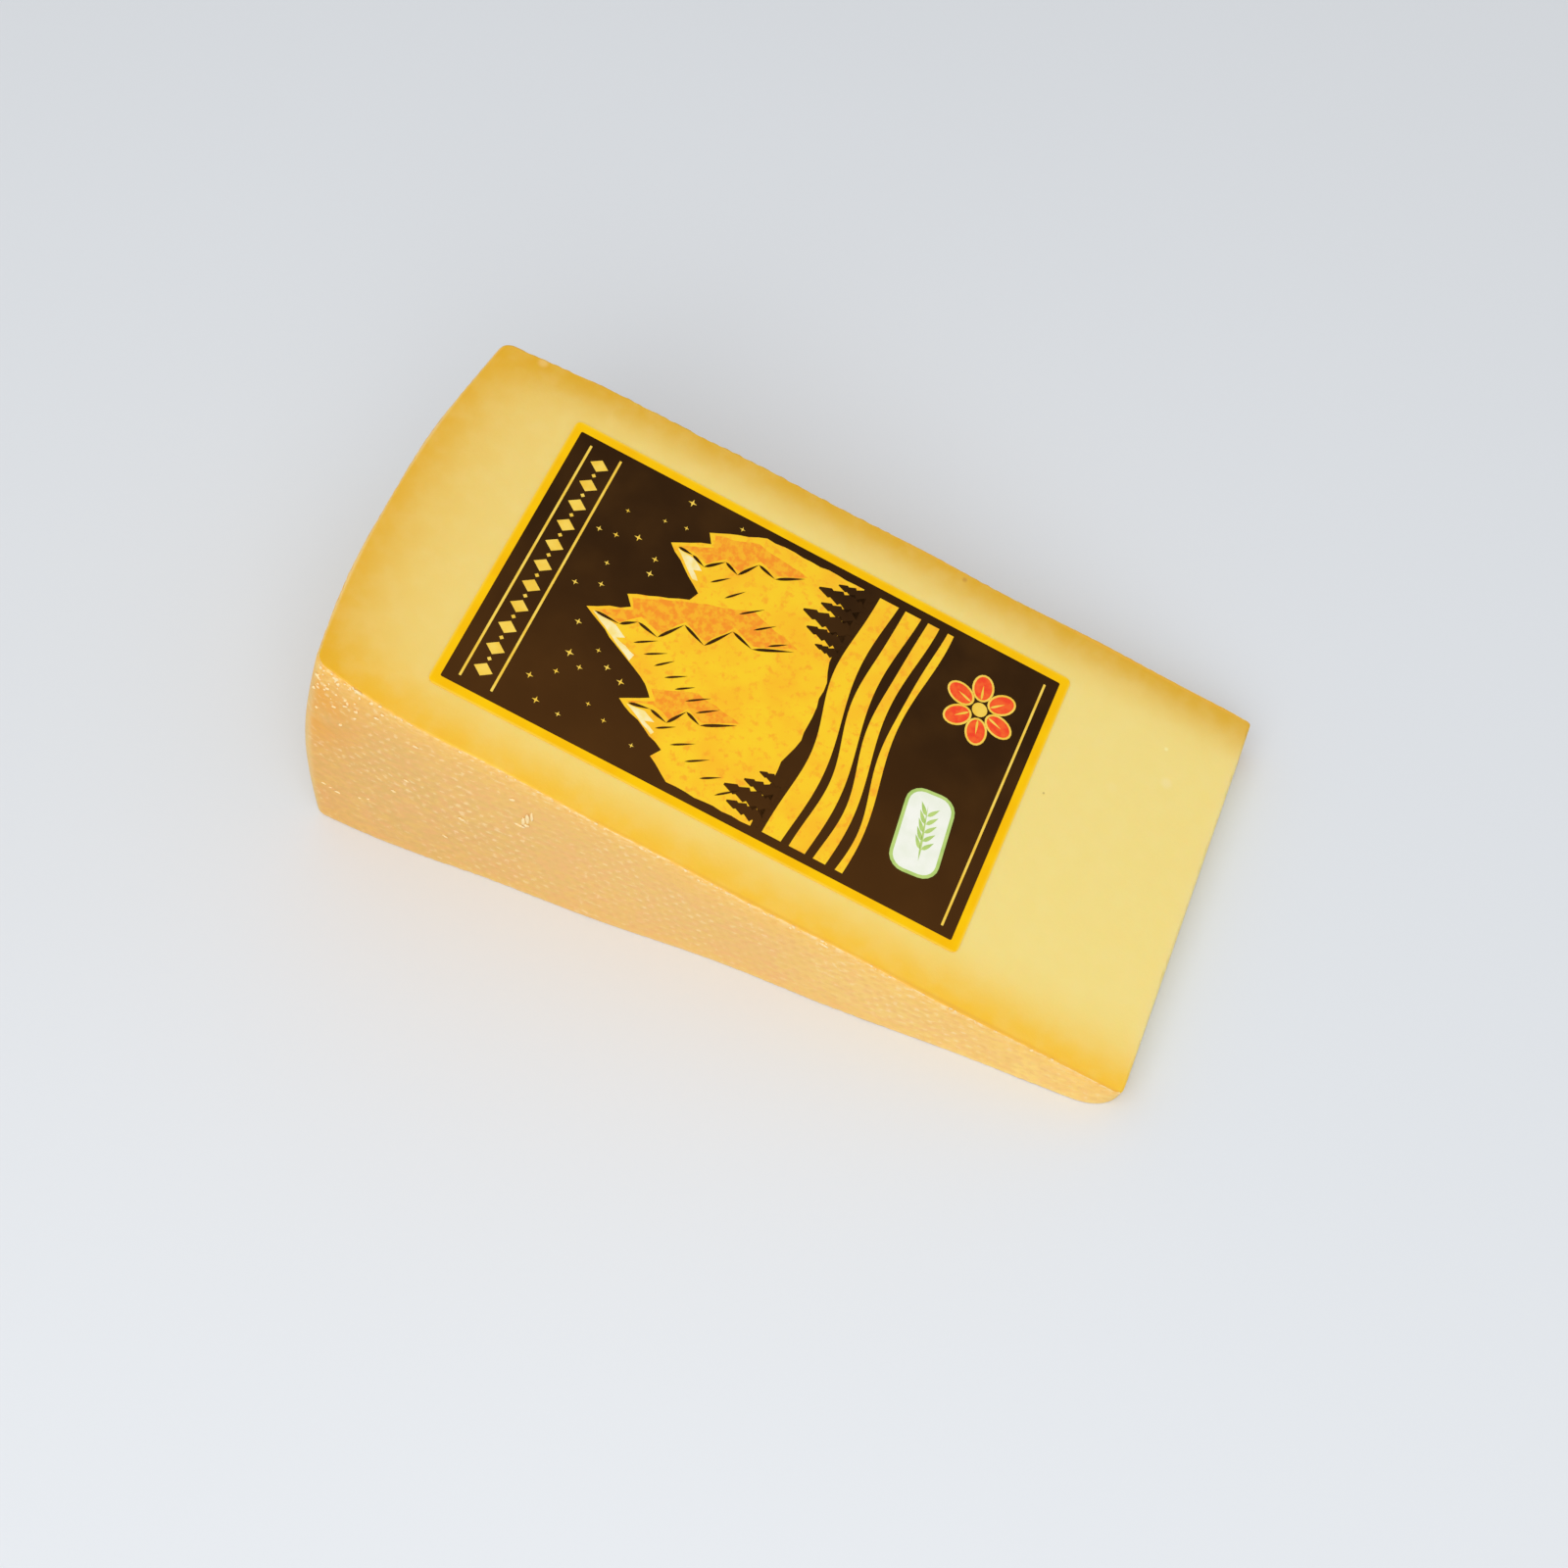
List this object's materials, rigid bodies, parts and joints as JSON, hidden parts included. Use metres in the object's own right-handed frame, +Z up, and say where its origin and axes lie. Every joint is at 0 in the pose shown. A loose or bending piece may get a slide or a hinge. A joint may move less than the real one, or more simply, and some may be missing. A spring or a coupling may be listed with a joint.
{
  "type": "mountain cheese chunk",
  "caption": "Wedge of pressed mountain cheese cut from a round wheel, with rind on its rim and flats, lying on a cut face with a printed label stuck on top.",
  "frame": {"origin": "middle of the chunk's bounding box, at the height of the lower cut face that it lies on", "axes": "+X from the wheel's rim towards the thin end, +Y along the wheel's axis from the near rind face to the far one, +Z up from the lower cut face"},
  "size_m": [0.1978, 0.1012, 0.0639],
  "materials": {
    "cheese": "satin pale yellow cut cheese, golden towards its apricot-tan cloth-marked rind",
    "label": "coated paper with a brown-black print and a yellow border, slightly glossy"
  },
  "bodies": {
    "root": {"cheese": "cheese", "label": "label"}
  },
  "joints": []
}
